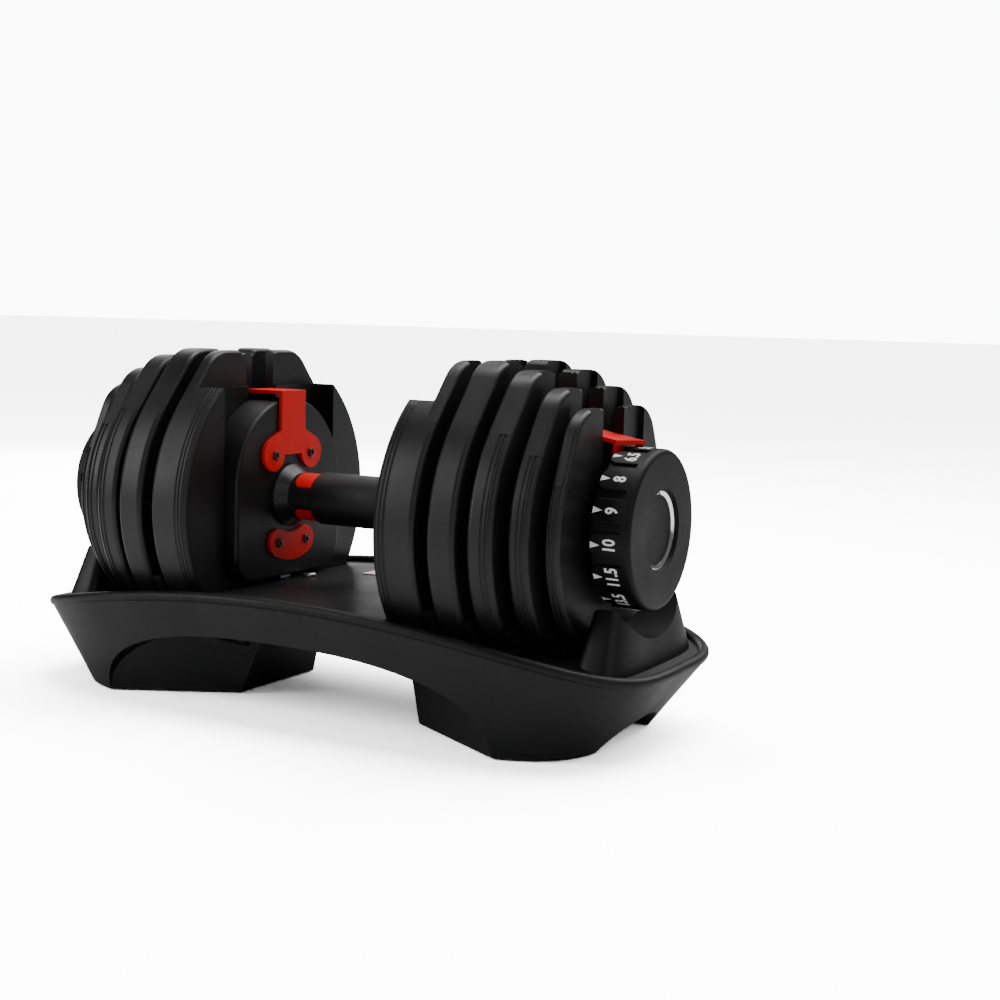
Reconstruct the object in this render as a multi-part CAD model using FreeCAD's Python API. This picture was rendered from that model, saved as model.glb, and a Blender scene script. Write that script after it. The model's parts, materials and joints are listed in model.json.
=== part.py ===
"""Adjustable dumbbell in its cradle: one handle, two selector dials and ten selectable plates.

Millimetres. X runs along the handle, Z is up, and the origin is on the ground under the middle.
Every piece is modelled on the +X side. The -X side holds the same pieces turned half a turn
about Z, as the real object does, so both dials read the same way from their own ends.
"""

import FreeCAD, Part

import math
import os

from FreeCAD import Vector

# ---------------------------------------------------------------- driving dimensions
AXIS_Z = 124.0            # height of the handle's axis above the ground, docked
DIAL_FACE_X = 200.0       # outer face of a dial, from the middle
DIAL_RADIUS = 46.0
DIAL_WIDTH = 24.0
CAP_RADIUS = 21.5
RING_WIDTH = 2.0
CAP_SINK = 3.4             # the cap's face below the dial's
CAP_THICK = 1.6
VALLEY_DEPTH = 1.6         # grooves between the dial's pads
PAD_SPAN = 13.8            # width of a pad along the rim
PAD_CORNER = 5.0
BAND_WIDTH = 5.5           # smooth band at the dial's face
NUT_ROOM = 13.0           # from the dial's face to the end of the sleeve
SETTINGS = 15             # settings on a dial
REST_SETTING = 3          # the setting at the pointer: plates 4 and 5 are picked up

SHAFT_RADIUS = 8.0        # steel rod from dial to dial
RUNNING_GAP = 0.06        # radial clearance of the sleeves that turn on the rod
FREE_GAP = 0.5            # clearance between pieces that pass each other
SLEEVE_RADIUS = 12.5
GRIP_RADIUS = 16.5
GRIP_HALF = 32.0
COLLAR_RADIUS = 14.8
COLLAR_FOOT_RADIUS = 20.0  # where the collar meets the cover
COLLAR_FOOT = 9.0
INLAY_DEPTH = 1.2
INLAY_HALF = 13.0

COVER_FACE_X = 58.5       # inner cover: face towards the hand
COVER_BACK_X = 81.0
COVER_HALF_WIDTH = 54.0
COVER_TOP = 62.0          # above the axis
COVER_BOTTOM = 52.0       # below the axis
COVER_WALL = 2.2

# plate: inner face x, outer face x, rim radius, ear height above the axis
PLATES = {
    1: (66.0, 93.0, 93.5, 91.6),
    2: (101.0, 118.5, 93.5, 92.1),
    3: (124.0, 139.5, 90.0, 87.4),
    4: (144.5, 157.0, 82.0, 78.4),
    5: (161.5, 170.5, 72.0, 67.9),
}
PICKED = {
    0: (), 1: (5,), 2: (4,), 3: (4, 5), 4: (3,), 5: (3, 5), 6: (2,), 7: (2, 5), 8: (2, 4),
    9: (2, 3), 10: (1, 2), 11: (1, 2, 4), 12: (1, 2, 3), 13: (1, 2, 3, 4), 14: (1, 2, 3, 4, 5),
}
PLATE_DROP = 3.0          # a plate's rim centre lies this far below the axis
PLATE_EDGE = 3.0          # rounding of a rim's edges
EAR_Y = 31.0
EAR_RADIUS = 24.0
EAR_CORNER = 7.0          # rounding of an ear's top beside the slot
SLOT_HALF = 14.0          # half width of the slot that the sleeve drops through
SHOULDER_X = 84.0         # plate 1 is a thick collar out to here, and a plate beyond
SHOULDER_TOP = 69.0       # the collar's flat shoulders, above the axis
POCKET_GAP = 3.0          # room round the inner cover in plate 1
BEAD_RADIUS = 0.9

DISC_RADIUS = 33.5        # selector discs
DISC_WEB = 1.6
LIP_OUTER = 32.5          # lifting lip on a disc
LIP_INNER = 29.0
LIP_DEPTH = 2.2
CHANNEL_DEPTH = 3.0       # recess in a plate's outer face for its disc
LUG_HALF = 5.0
LUG_HEIGHT = 8.0

LOCK_RADIUS = 22.0
LOCK_X = 61.5
LOCK_THICK = 3.0
NOTCH_DEPTH = 3.5
NOTCH_HALF = 2.7
YOKE_WALL = 4.5
STEM_HALF = 5.0
SPRING_TOP = 44.0         # the ledge over the lock spring, above the axis
LOCK_LIFT = 4.0           # how far the post pushes the yoke up

STRAP_HALF = 12.5         # the painted bridge
STRAP_THICK = 2.2
STRAP_INNER_TOP = 67.0    # above the axis, over the cover
STRAP_OUTER_TOP = 50.0    # above the axis, at the dial
STRAP_BEND_X = 84.0
LEG_X = 173.4             # outer leg, between plate 5's disc and the dial
LEG_THICK = 1.8
POINTER_REACH = 13.0

LIP_MID_Z = 70.0          # top seam of the cradle, at the middle
LIP_END_Z = 43.0          # and at its ends
LIP_HALF_LENGTH = 214.5
FOOT_HALF_LENGTH = 181.0
FOOT_HALF_WIDTH = 87.0
SIDE_FLARE = 0.10         # outward run of the long sides per unit of height
END_FLARE = 0.78          # outward run of the short ends per unit of height
OUTLINE_POWER = 4.0       # squareness of the cradle's plan outline
GROUND_GAP = 1.0          # skirt above the ground
CRADLE_WALL = 3.2
ROLL_RADIUS = 3.3          # the tray's rolled lip
ROLL_RISE = 2.3            # its centre line above the seam
ROLL_INSET = 1.9           # and inside the skirt's face
PAN_LEVEL = 1.5           # tray floor above the seam
PAN_THICK = 3.5
ARCH_HALF = 138.0         # wide arch under the long sides
ARCH_HEIGHT = 49.0
ARCH_POWER = 2.5
TUNNEL_HALF = 66.5        # inner walls of the feet
TUNNEL_DRAFT = 0.33        # how the tunnel's walls lean apart downwards
WAIST_HALF = 39.0         # half width of the feet at the tunnel
END_ARCH_HALF = 36.0
END_ARCH_HEIGHT = 17.0
WELL_GAP = 1.2            # round a plate's rim
WELL_WALL = 2.6
RIB_RISE = 12.0           # ribs between the plates, above the tray floor
PAD_RADIUS = 8.0
PAD_HEIGHT = 4.0
PAD_X = 134.0
PAD_Y = 58.0

MOUND_X = 186.0           # end saddle that the dial hangs over
MOUND_HALF_LENGTH = 17.0
MOUND_HALF_WIDTH = 62.0
MOUND_TOP_Z = 84.0
SADDLE_RADIUS = 54.0
SADDLE_Z = 63.0

LABEL_HALF_LENGTH = 26.0
LABEL_Y = (36.0, 62.0)
LABEL_THICK = 0.6
DECK_SCREW_X = 52.0
DECK_SCREW_Y = -13.0
DECK_SCREW_RADIUS = 4.6

SCREW_HEAD = 2.9
SCREW_SHANK = 1.6
SCREW_HEAD_THICK = 1.4
FLANGE_HOLE_Y = 18.5
FLANGE_HOLE_Z = 26.5
FLANGE_LOBE = 10.5
FLANGE_NECK = 42.0         # where the arm widens, above the axis
FLANGE_RELIEF = 23.0       # round the collar
RETAINER_HOLE_Y = 14.0
RETAINER_HOLE_Z = -29.5
RETAINER_LOBE = 9.0

TURN = 360.0 / SETTINGS
X_AXIS = Vector(1, 0, 0)
Y_AXIS = Vector(0, 1, 0)
Z_AXIS = Vector(0, 0, 1)


# ---------------------------------------------------------------- helpers
def rod(radius, x0, x1, drop=0.0):
    """A cylinder along the handle's axis."""
    return Part.makeCylinder(radius, x1 - x0, Vector(x0, 0, AXIS_Z - drop), X_AXIS)


def ring(outer, inner, x0, x1):
    return rod(outer, x0, x1).cut(rod(inner, x0 - 1, x1 + 1))


def block(x0, x1, y0, y1, z0, z1):
    return Part.makeBox(x1 - x0, y1 - y0, z1 - z0, Vector(x0, y0, z0))


def prism_x(points, x0, x1):
    """A closed outline of (y, height above the axis) points, pushed along X."""
    corners = [Vector(x0, y, AXIS_Z + h) for y, h in points]
    face = Part.Face(Part.makePolygon(corners + corners[:1]))
    return face.extrude(Vector(x1 - x0, 0, 0))


def prism_y(points, half):
    """A closed outline of (x, height above the axis) points, pushed both ways along Y."""
    corners = [Vector(x, -half, AXIS_Z + h) for x, h in points]
    face = Part.Face(Part.makePolygon(corners + corners[:1]))
    return face.extrude(Vector(0, 2 * half, 0))


def fuse_all(shapes):
    first, rest = shapes[0], shapes[1:]
    return first.multiFuse(rest).removeSplitter() if rest else first


def round_edges(shape, radius, wanted):
    """Fillet the edges that the test picks."""
    return shape.makeFillet(radius, [edge for edge in shape.Edges if wanted(edge)])


def across_x(edge):
    """True for a full or part circle about an X axis."""
    curve = edge.Curve
    return isinstance(curve, Part.Circle) and abs(curve.Axis.x) > 0.99


def other_end(shape):
    """The same piece at the other end of the handle: half a turn about Z."""
    turned = shape.copy()
    turned.rotate(Vector(0, 0, 0), Z_AXIS, 180)
    return turned


# ---------------------------------------------------------------- plates
def slot(x0, x1, half):
    """A U slot about the axis, open at the top."""
    top = AXIS_Z + 120
    return fuse_all([rod(half, x0, x1), block(x0, x1, -half, half, AXIS_Z, top)])


def tombstone(x0, x1, half, top, bottom, corner):
    """The inner cover's arched outline, round on top, with round lower corners."""
    points_z = (AXIS_Z - bottom, AXIS_Z + top - half)
    body = block(x0, x1, -half, half, *points_z)
    body = round_edges(body, corner, lambda e: e.CenterOfMass.z < points_z[0] + 1
                       and abs(abs(e.CenterOfMass.y) - half) < 0.1)
    crown = Part.makeCylinder(half, x1 - x0, Vector(x0, 0, points_z[1]), X_AXIS)
    return fuse_all([body, crown])


def plate_rim(number):
    inner, outer, radius, _ = PLATES[number]
    rim = rod(radius, inner, outer, PLATE_DROP)
    rim = round_edges(rim, PLATE_EDGE, across_x)
    grooves = []
    if number == 1:
        grooves = [inner + 2.6, inner + 5.2, inner + 7.8]
    elif number > 2:
        grooves = [outer - 3.4, outer - 6.2]
    centre_z = AXIS_Z - PLATE_DROP
    for x in grooves:
        rim = rim.cut(Part.makeTorus(radius + 0.2, BEAD_RADIUS, Vector(x, 0, centre_z), X_AXIS))
    return rim


def ear_flank(number):
    """The straight tangent from an ear's crown down to the rim, as (y, height) points."""
    radius, height = PLATES[number][2:]
    crown_h = height - EAR_RADIUS
    rise = crown_h + PLATE_DROP
    apart = math.hypot(EAR_Y, rise)
    lean = math.atan2(EAR_Y, rise) + math.acos((radius - EAR_RADIUS) / apart)
    upper = (EAR_Y + EAR_RADIUS * math.sin(lean), crown_h + EAR_RADIUS * math.cos(lean))
    lower = (radius * math.sin(lean), radius * math.cos(lean) - PLATE_DROP)
    return [(EAR_Y, crown_h), upper, lower, (0.0, -PLATE_DROP)]


def plate_ears(number):
    """Two ears, one each side of the slot: a wide crown, a tighter corner and a sloping flank."""
    inner, outer, _, height = PLATES[number]
    start = SHOULDER_X if number == 1 else inner
    soft = PLATE_EDGE - 0.4
    corner_y = SLOT_HALF + EAR_CORNER
    ears = []
    for side in (-1, 1):
        crown_at = Vector(start, side * EAR_Y, AXIS_Z + height - EAR_RADIUS)
        crown = Part.makeCylinder(EAR_RADIUS, outer - start, crown_at, X_AXIS)
        corner_at = Vector(start, side * corner_y, AXIS_Z + height - EAR_CORNER)
        corner = Part.makeCylinder(EAR_CORNER, outer - start, corner_at, X_AXIS)
        flank = prism_x([(side * y, h) for y, h in ear_flank(number)], start, outer)
        bridge_y = sorted((side * corner_y, side * EAR_Y))
        between = block(start, outer, *bridge_y, AXIS_Z, AXIS_Z + height)
        ear = fuse_all([crown, corner, flank, between])
        ear = round_edges(ear, soft, lambda e: is_rim_edge(e, start, outer, height))
        ears.append(ear)
    return ears


def is_rim_edge(edge, start, outer, height):
    """True for the upper edges of an ear's two flat faces."""
    box = edge.BoundBox
    flat = box.XLength < 0.01 and (abs(box.XMin - start) < 0.01 or abs(box.XMin - outer) < 0.01)
    return flat and box.ZMin > AXIS_Z + 0.55 * height


def plate(number):
    inner, outer, radius, height = PLATES[number]
    body = plate_rim(number)
    if number == 1:
        far = radius + 20
        above = AXIS_Z + SHOULDER_TOP
        body = body.cut(block(inner - 1, SHOULDER_X, -far, far, above, above + 60))
    body = body.multiFuse(plate_ears(number)).removeSplitter()
    body = body.cut(slot(inner - 1, outer + 1, SLOT_HALF))
    body = body.cut(slot(outer - CHANNEL_DEPTH, outer + 1, DISC_RADIUS + 2.0))
    if number == 1:
        half = COVER_HALF_WIDTH + POCKET_GAP
        floor = COVER_BACK_X + 0.6
        pocket = tombstone(inner - 1, floor, half, half, COVER_BOTTOM + 2.0, 20.0)
        body = body.cut(pocket)
        body = body.cut(block(inner - 1, floor, -half, half, AXIS_Z, AXIS_Z + 120))
    lug_top = AXIS_Z - LIP_INNER + 1.2 + LUG_HEIGHT
    lug = block(outer - CHANNEL_DEPTH, outer - 0.6, -LUG_HALF, LUG_HALF, lug_top - LUG_HEIGHT, lug_top)
    return fuse_all([body, lug])


# ---------------------------------------------------------------- dial and selector
def selector_disc(number):
    """A disc beside its plate, with a lifting lip where a setting picks the plate up."""
    outer = PLATES[number][1]
    web_x = outer + 0.6
    web = ring(DISC_RADIUS, SLEEVE_RADIUS, web_x, web_x + DISC_WEB)
    lip = ring(LIP_OUTER, LIP_INNER, outer + 0.6 - LIP_DEPTH - 0.6, web_x)
    pieces = [web]
    for setting, plates in PICKED.items():
        if number in plates:
            pieces.append(lip.common(sector(TURN * (setting - REST_SETTING) + 180)))
    return fuse_all(pieces)


def sector(angle):
    """The wedge of one setting, at an angle from the top towards -Y."""
    reach = 2 * DIAL_RADIUS
    half = math.radians(TURN / 2)
    points = [(0, 0)]
    for swing in (-half, half):
        a = math.radians(angle) + swing
        points.append((-reach * math.sin(a), reach * math.cos(a)))
    return prism_x(points, 0, DIAL_FACE_X + 20)


def selector_sleeve():
    return ring(SLEEVE_RADIUS, SHAFT_RADIUS + RUNNING_GAP, LOCK_X, DIAL_FACE_X - NUT_ROOM)


def lock_ring():
    body = ring(LOCK_RADIUS, SLEEVE_RADIUS, LOCK_X, LOCK_X + LOCK_THICK)
    notch = block(LOCK_X - 1, LOCK_X + LOCK_THICK + 1, -NOTCH_HALF, NOTCH_HALF,
                  AXIS_Z + LOCK_RADIUS - NOTCH_DEPTH, AXIS_Z + LOCK_RADIUS + 2)
    for setting in range(SETTINGS):
        turned = notch.copy()
        turned.rotate(Vector(0, 0, AXIS_Z), X_AXIS, TURN * setting)
        body = body.cut(turned)
    return body


def dial_pad():
    """One raised pad for a setting, with round corners towards the plates."""
    back = DIAL_FACE_X - DIAL_WIDTH
    half = PAD_SPAN / 2
    pad = block(back, DIAL_FACE_X - BAND_WIDTH + 1, -half, half, AXIS_Z + 30, AXIS_Z + 60)
    pad = round_edges(pad, PAD_CORNER, lambda e: e.BoundBox.ZLength > 20
                      and abs(e.BoundBox.XMin - back) < 0.01)
    pad = pad.common(rod(DIAL_RADIUS, back, DIAL_FACE_X))
    return round_edges(pad, 0.7, lambda e: e.BoundBox.ZMin > AXIS_Z + DIAL_RADIUS - 1.0
                       and e.BoundBox.XMin < DIAL_FACE_X - BAND_WIDTH)


def dial_knob():
    """The dial: a drum with a pad for each setting, a smooth band and a recess for the cap."""
    back = DIAL_FACE_X - DIAL_WIDTH
    drum = rod(DIAL_RADIUS - VALLEY_DEPTH, back, DIAL_FACE_X - 1)
    drum = round_edges(drum, 1.5, lambda e: across_x(e) and e.CenterOfMass.x < back + 1)
    band = rod(DIAL_RADIUS, DIAL_FACE_X - BAND_WIDTH, DIAL_FACE_X)
    band = round_edges(band, 3.0, lambda e: across_x(e) and e.CenterOfMass.x > DIAL_FACE_X - 1)
    pads = []
    for setting in range(SETTINGS):
        turned = dial_pad()
        turned.rotate(Vector(0, 0, AXIS_Z), X_AXIS, TURN * setting)
        pads.append(turned)
    body = fuse_all([drum, band] + pads)
    sleeve_end = DIAL_FACE_X - NUT_ROOM
    body = body.cut(rod(SLEEVE_RADIUS, back - 1, sleeve_end))
    cap_back = DIAL_FACE_X - CAP_SINK - CAP_THICK
    body = body.cut(rod(SLEEVE_RADIUS + 2.5, sleeve_end, cap_back))
    return body.cut(rod(CAP_RADIUS + RING_WIDTH, cap_back, DIAL_FACE_X + 1))


def dial_cap():
    cap = rod(CAP_RADIUS, DIAL_FACE_X - CAP_SINK - CAP_THICK, DIAL_FACE_X - CAP_SINK)
    return round_edges(cap, 0.6, lambda e: across_x(e)
                       and e.CenterOfMass.x > DIAL_FACE_X - CAP_SINK - 0.1)


def dial_ring():
    """The bright ring that lines the cap's recess."""
    body = ring(CAP_RADIUS + RING_WIDTH, CAP_RADIUS, DIAL_FACE_X - CAP_SINK - CAP_THICK,
                DIAL_FACE_X - 0.5)
    return round_edges(body, 0.8, lambda e: across_x(e) and e.CenterOfMass.x > DIAL_FACE_X - 1
                       and e.Curve.Radius < CAP_RADIUS + 0.1)


# ---------------------------------------------------------------- handle
def main_shaft():
    end = DIAL_FACE_X - 8.0
    return rod(SHAFT_RADIUS, -end, end)


def end_nut():
    nut_x = DIAL_FACE_X - 12.4
    hexagon = [(12.0 * math.cos(math.radians(a)), 12.0 * math.sin(math.radians(a)))
               for a in range(0, 360, 60)]
    nut = prism_x(hexagon, nut_x, nut_x + 5.0)
    return nut.cut(rod(SHAFT_RADIUS, nut_x - 1, nut_x + 6))


def grip():
    body = ring(GRIP_RADIUS, SHAFT_RADIUS, -GRIP_HALF, GRIP_HALF)
    return round_edges(body, 1.5, lambda e: across_x(e) and e.Curve.Radius > SHAFT_RADIUS + 1)


def collar():
    """A polished collar that flares out to meet the cover."""
    foot_x = COVER_FACE_X - COLLAR_FOOT
    body = rod(COLLAR_RADIUS, GRIP_HALF, COVER_FACE_X)
    flare = Part.makeCone(COLLAR_RADIUS, COLLAR_FOOT_RADIUS, COLLAR_FOOT - 2.0,
                          Vector(foot_x, 0, AXIS_Z), X_AXIS)
    foot = rod(COLLAR_FOOT_RADIUS, COVER_FACE_X - 2.0, COVER_FACE_X)
    body = fuse_all([body, flare, foot])
    return body.cut(rod(SHAFT_RADIUS, 0, COVER_FACE_X + 1)).cut(inlay_space())


def inlay_space():
    """The shallow pockets on the collar's top and underside."""
    x0, x1 = GRIP_HALF + 1.0, COVER_FACE_X - COLLAR_FOOT - 3.0
    shell = ring(COLLAR_RADIUS + 1, COLLAR_RADIUS - INLAY_DEPTH, x0, x1)
    window = block(x0, x1, -INLAY_HALF, INLAY_HALF, 0, 2 * AXIS_Z)
    window = round_edges(window, 4.0, lambda e: e.BoundBox.ZLength > AXIS_Z
                         and abs(e.BoundBox.XMax - x1) < 0.01)
    return shell.common(window)


def collar_inlays():
    return inlay_space().common(rod(COLLAR_RADIUS + 0.3, 0, COVER_FACE_X))


def screw_places():
    """(y, height above the axis) of the four screws on one cover."""
    upper = [(side * FLANGE_HOLE_Y, FLANGE_HOLE_Z) for side in (-1, 1)]
    lower = [(side * RETAINER_HOLE_Y, RETAINER_HOLE_Z) for side in (-1, 1)]
    return upper + lower


def drill(shape, x0, x1):
    for y, height in screw_places():
        hole = Part.makeCylinder(SCREW_SHANK, x1 - x0, Vector(x0, y, AXIS_Z + height), X_AXIS)
        shape = shape.cut(hole)
    return shape


def inner_cover():
    outer = tombstone(COVER_FACE_X, COVER_BACK_X, COVER_HALF_WIDTH, COVER_TOP, COVER_BOTTOM, 18.0)
    face_x = COVER_FACE_X
    outer = round_edges(outer, 2.0, lambda e: abs(e.BoundBox.XMin - face_x) < 0.01
                        and abs(e.BoundBox.XMax - face_x) < 0.01)
    half = COVER_HALF_WIDTH - COVER_WALL
    inside = tombstone(COVER_FACE_X + COVER_WALL, COVER_BACK_X + 1, half, COVER_TOP - COVER_WALL,
                       COVER_BOTTOM - COVER_WALL, 16.0)
    body = outer.cut(inside)
    body = body.cut(rod(SHAFT_RADIUS, 0, COVER_BACK_X))
    gap_x = (LOCK_X - FREE_GAP, LOCK_X + LOCK_THICK + FREE_GAP)
    stem = STEM_HALF + FREE_GAP
    body = body.cut(block(*gap_x, -stem, stem, AXIS_Z - COVER_BOTTOM - 5, AXIS_Z - COVER_BOTTOM + 5))
    ledge_z = AXIS_Z + SPRING_TOP
    ledge = block(COVER_FACE_X + COVER_WALL, LOCK_X + LOCK_THICK + 3, -7, 7, ledge_z, ledge_z + 3)
    return drill(fuse_all([body, ledge]), COVER_FACE_X - 1, COVER_FACE_X + COVER_WALL + 1)


def cover_back():
    x0, x1 = COVER_BACK_X - COVER_WALL, COVER_BACK_X
    half = COVER_HALF_WIDTH - COVER_WALL
    body = tombstone(x0, x1, half, COVER_TOP - COVER_WALL, COVER_BOTTOM - COVER_WALL, 16.0)
    return body.cut(rod(SLEEVE_RADIUS + FREE_GAP, x0 - 1, x1 + 1))


def lobe_edge(y, height, radius, from_y, from_height):
    """Where a line from a point touches the outer side of a round lobe, as (y, height)."""
    apart = math.hypot(from_y - y, from_height - height)
    swing = math.atan2(from_height - height, from_y - y) - math.acos(radius / apart)
    return (y + radius * math.cos(swing), height + radius * math.sin(swing))


def bridge_flange():
    """The bridge's inner leg: an arm that widens into two screw lobes over the collar."""
    x0, x1 = COVER_FACE_X - STRAP_THICK, COVER_FACE_X
    arm = [(STRAP_HALF, STRAP_INNER_TOP), (STRAP_HALF, FLANGE_NECK)]
    touch = lobe_edge(FLANGE_HOLE_Y + 1.0, FLANGE_HOLE_Z + 0.5, FLANGE_LOBE, *arm[1])
    right = arm + [touch, (FLANGE_HOLE_Y, FLANGE_HOLE_Z)]
    left = [(-y, h) for y, h in reversed(right)]
    pieces = [prism_x(right + left, x0, x1)]
    for side in (-1, 1):
        place = Vector(x0, side * (FLANGE_HOLE_Y + 1.0), AXIS_Z + FLANGE_HOLE_Z + 0.5)
        pieces.append(Part.makeCylinder(FLANGE_LOBE, STRAP_THICK, place, X_AXIS))
    return fuse_all(pieces).cut(rod(FLANGE_RELIEF, x0 - 1, x1 + 1))


def bridge():
    """A bent strap from the cover's face, over the plates' slots, to the pointer and its leg."""
    face = COVER_FACE_X
    top, low = STRAP_INNER_TOP, STRAP_OUTER_TOP
    side = [(face - STRAP_THICK, top), (STRAP_BEND_X, top), (LEG_X + LEG_THICK, low),
            (LEG_X + LEG_THICK, low - STRAP_THICK), (STRAP_BEND_X, top - STRAP_THICK),
            (face - STRAP_THICK, top - STRAP_THICK)]
    strap = prism_y(side, STRAP_HALF)
    outer_leg = prism_x([(-STRAP_HALF, low - 1), (STRAP_HALF, low - 1), (17.0, 0), (-17.0, 0)],
                        LEG_X, LEG_X + LEG_THICK)
    eye = rod(17.0, LEG_X, LEG_X + LEG_THICK)
    body = fuse_all([bridge_flange(), strap, outer_leg, eye, pointer()])
    body = body.cut(rod(SLEEVE_RADIUS + FREE_GAP, LEG_X - 1, LEG_X + LEG_THICK + 1))
    return drill(body, face - 5, face + 1)


def pointer():
    """The strap's tip, which points at the setting on the dial."""
    start = LEG_X + LEG_THICK - 0.5
    z = AXIS_Z + STRAP_OUTER_TOP - STRAP_THICK
    corners = [Vector(start, -STRAP_HALF, z), Vector(start + POINTER_REACH, 0, z),
               Vector(start, STRAP_HALF, z)]
    face = Part.Face(Part.makePolygon(corners + corners[:1]))
    return face.extrude(Vector(0, 0, STRAP_THICK))


def lower_retainer():
    """A kidney-shaped plate that curves round the underside of the collar."""
    x0, x1 = COVER_FACE_X - STRAP_THICK, COVER_FACE_X
    reach = math.hypot(RETAINER_HOLE_Y, RETAINER_HOLE_Z)
    band = ring(reach + RETAINER_LOBE, reach - RETAINER_LOBE, x0, x1)
    far = 3 * RETAINER_HOLE_Y, 3 * RETAINER_HOLE_Z
    body = band.common(prism_x([(0, 0), far, (-far[0], far[1])], x0, x1))
    lobes = [Part.makeCylinder(RETAINER_LOBE, STRAP_THICK,
                               Vector(x0, side * RETAINER_HOLE_Y, AXIS_Z + RETAINER_HOLE_Z), X_AXIS)
             for side in (-1, 1)]
    return drill(fuse_all([body] + lobes), x0 - 1, x1 + 1)


def cover_screws():
    head_x = COVER_FACE_X - STRAP_THICK - SCREW_HEAD_THICK
    screws = []
    for y, height in screw_places():
        place = Vector(head_x, y, AXIS_Z + height)
        head = Part.makeCylinder(SCREW_HEAD, SCREW_HEAD_THICK, place, X_AXIS)
        shank = Part.makeCylinder(SCREW_SHANK, COVER_FACE_X + COVER_WALL - head_x, place, X_AXIS)
        screws.append(fuse_all([head, shank]))
    return screws


# ---------------------------------------------------------------- dial lock
def lock_yoke():
    """A frame round the lock ring. Its tooth drops into a notch when the handle leaves the post."""
    x0, x1 = LOCK_X, LOCK_X + LOCK_THICK
    clear = LOCK_RADIUS + 0.8
    half = LOCK_RADIUS + 2.5
    top, bottom = clear + 5.0, clear
    frame = block(x0, x1, -half - YOKE_WALL, half + YOKE_WALL,
                  AXIS_Z - bottom - LOCK_LIFT - YOKE_WALL, AXIS_Z + top + YOKE_WALL)
    window = block(x0 - 1, x1 + 1, -half, half, AXIS_Z - bottom, AXIS_Z + top)
    tooth = block(x0, x1, -NOTCH_HALF + 0.5, NOTCH_HALF - 0.5, AXIS_Z + clear, AXIS_Z + top + 1)
    stem = block(x0, x1, -STEM_HALF, STEM_HALF, post_top(), AXIS_Z - bottom - 2)
    return fuse_all([frame.cut(window), tooth, stem])


def post_top():
    return AXIS_Z - COVER_BOTTOM - 2.0


def lock_spring():
    """A small coil spring that pushes the yoke down."""
    bottom = AXIS_Z + LOCK_RADIUS + 0.8 + 5.0 + YOKE_WALL + 0.4
    height = AXIS_Z + SPRING_TOP - 0.4 - bottom
    wire, coil = 0.35, 1.6
    helix = Part.makeHelix((height - 2 * wire) / 5.0, height - 2 * wire, coil)
    circle = Part.Wire(Part.Circle(Vector(coil, 0, 0), Y_AXIS, wire).toShape())
    spring = Part.Wire(helix.Edges).makePipeShell([circle], True, True)
    spring.translate(Vector(LOCK_X + LOCK_THICK / 2, 0, bottom + wire))
    return spring


# ---------------------------------------------------------------- cradle
def plan_wire(half_length, half_width, z):
    """A smooth closed outline between an ellipse and a rectangle, with a formula for its points."""
    points = []
    count = 48
    power = 2.0 / OUTLINE_POWER
    for step in range(count):
        a = 2 * math.pi * step / count
        x = math.copysign(abs(math.cos(a)) ** power, math.cos(a))
        y = math.copysign(abs(math.sin(a)) ** power, math.sin(a))
        points.append(Vector(half_length * x, half_width * y, z))
    curve = Part.BSplineCurve()
    curve.interpolate(points, PeriodicFlag=True)
    return Part.Wire(curve.toShape())


def flared(offset, z0=0.0, z1=90.0):
    """The cradle's flared outer form, moved in or out by an offset."""
    wires = []
    for z in (z0, z1):
        half_length = FOOT_HALF_LENGTH + END_FLARE * z + offset
        half_width = FOOT_HALF_WIDTH + SIDE_FLARE * z + offset
        wires.append(plan_wire(half_length, half_width, z))
    return Part.makeLoft(wires, True, True)


def arch_radius():
    drop = LIP_MID_Z - LIP_END_Z
    return (LIP_HALF_LENGTH ** 2 + drop ** 2) / (2 * drop)


def under_arch(rise=0.0):
    """Everything below the seam's long arched surface, moved up or down."""
    radius = arch_radius()
    centre = Vector(0, -150, LIP_MID_Z - radius)
    return Part.makeCylinder(radius + rise, 300, centre, Y_AXIS)


def side_arch():
    """The wide arch under the long sides, as a solid that runs right across."""
    points = []
    count = 24
    power = 2.0 / ARCH_POWER
    for step in range(count + 1):
        a = math.pi * step / count
        x = math.copysign(abs(math.cos(a)) ** power, math.cos(a)) * ARCH_HALF
        points.append(Vector(x, -150, ARCH_HEIGHT * math.sin(a) ** power))
    curve = Part.BSplineCurve()
    curve.interpolate(points)
    base = Part.makePolygon([points[-1], Vector(-ARCH_HALF, -150, -5), Vector(ARCH_HALF, -150, -5),
                             points[0]])
    face = Part.Face(Part.Wire([curve.toShape()] + base.Edges))
    return face.extrude(Vector(0, 300, 0))


def foot_plan(inset=0.0):
    """Both feet's inner flanks: narrow at the tunnel and spreading to meet the skirt's corners."""
    share = (1 - (ARCH_HALF / FOOT_HALF_LENGTH) ** OUTLINE_POWER) ** (1 / OUTLINE_POWER)
    slope = (FOOT_HALF_WIDTH * share - WAIST_HALF) / (ARCH_HALF - TUNNEL_HALF)
    feet = []
    for side in (-1, 1):
        wires = []
        for z in (-6.0, 114.0):
            start, end = TUNNEL_HALF + inset - TUNNEL_DRAFT * z, 260.0
            near = WAIST_HALF - inset * 0.6 - slope * TUNNEL_DRAFT * z
            far = near + slope * (end - start)
            corners = [Vector(side * start, -near, z), Vector(side * end, -far, z),
                       Vector(side * end, far, z), Vector(side * start, near, z)]
            wires.append(Part.makePolygon(corners + corners[:1]))
        feet.append(Part.makeLoft(wires, True, True))
    return feet


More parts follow.
